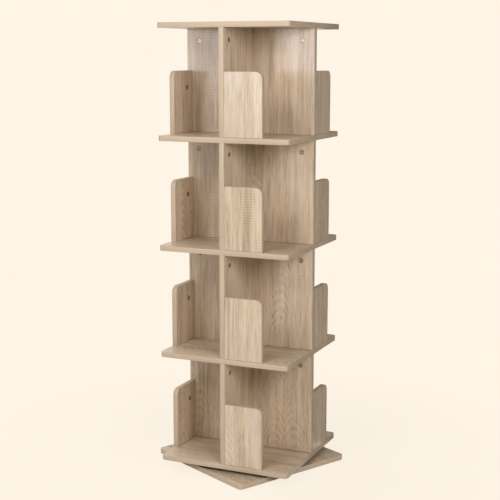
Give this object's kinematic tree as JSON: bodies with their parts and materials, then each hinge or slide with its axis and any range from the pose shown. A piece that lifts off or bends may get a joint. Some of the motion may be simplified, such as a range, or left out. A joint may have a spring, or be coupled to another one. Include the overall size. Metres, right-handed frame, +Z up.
{
  "type": "revolving bookcase",
  "caption": "Tall square revolving bookcase: open shelves divided by pinwheels of upright panels with low book stops, turning on a base board.",
  "frame": {"origin": "on the turning axis at the floor, under the middle of the base board", "axes": "+Z up along the turning axis; at rest -Y is the side that the long panels face, +X their right arm; the base board is turned -27 degrees about Z from the shelves"},
  "size_m": [0.5296, 0.5296, 1.2995],
  "materials": {
    "oak_laminate": "matt oak-grain melamine laminate on particleboard",
    "turntable_steel": "zinc-plated pressed steel",
    "screw_steel": "zinc-plated steel",
    "cam_zinc": "die-cast zinc",
    "beech": "bare beech",
    "felt": "brown needle felt",
    "cage_nylon": "black nylon"
  },
  "bodies": {
    "base": {"felt_pads": "felt", "base_board": "oak_laminate", "turntable_lower_plate": "turntable_steel", "lower_plate_screws": "screw_steel", "turntable_pivot_rivet": "turntable_steel"},
    "roller_ring": {"turntable_cage": "cage_nylon", "turntable_rollers": "turntable_steel"},
    "carousel": {"turntable_upper_plate": "turntable_steel", "upper_plate_screws": "screw_steel", "bottom_shelf": "oak_laminate", "second_shelf": "oak_laminate", "third_shelf": "oak_laminate", "fourth_shelf": "oak_laminate", "top_board": "oak_laminate", "tier_1_long_panel": "oak_laminate", "tier_1_front_panel": "oak_laminate", "tier_1_back_panel": "oak_laminate", "tier_1_front_stop": "oak_laminate", "tier_1_right_stop": "oak_laminate", "tier_1_back_stop": "oak_laminate", "tier_1_left_stop": "oak_laminate", "tier_2_long_panel": "oak_laminate", "tier_2_front_panel": "oak_laminate", "tier_2_back_panel": "oak_laminate", "tier_2_front_stop": "oak_laminate", "tier_2_right_stop": "oak_laminate", "tier_2_back_stop": "oak_laminate", "tier_2_left_stop": "oak_laminate", "tier_3_long_panel": "oak_laminate", "tier_3_front_panel": "oak_laminate", "tier_3_back_panel": "oak_laminate", "tier_3_front_stop": "oak_laminate", "tier_3_right_stop": "oak_laminate", "tier_3_back_stop": "oak_laminate", "tier_3_left_stop": "oak_laminate", "tier_4_long_panel": "oak_laminate", "tier_4_front_panel": "oak_laminate", "tier_4_back_panel": "oak_laminate", "tier_4_front_stop": "oak_laminate", "tier_4_right_stop": "oak_laminate", "tier_4_back_stop": "oak_laminate", "tier_4_left_stop": "oak_laminate", "panel_cam_locks": "cam_zinc", "stop_cam_locks": "cam_zinc", "panel_cam_bolts": "screw_steel", "stop_cam_bolts": "screw_steel", "stop_dowels": "beech", "cross_dowels": "beech", "shelf_screws": "screw_steel"}
  },
  "joints": [
    {"name": "carousel_spin", "type": "hinge", "parent": "base", "child": "carousel", "pos_m": [0, 0, 0.02325], "axis": [0, 0, 1], "continuous": true},
    {"name": "roller_ring_spin", "type": "hinge", "parent": "base", "child": "roller_ring", "pos_m": [0, 0, 0.02325], "axis": [0, 0, 1], "continuous": true}
  ],
  "couplings": [
    {"joint": "roller_ring_spin", "follows": "carousel_spin", "ratio": 0.5}
  ]
}
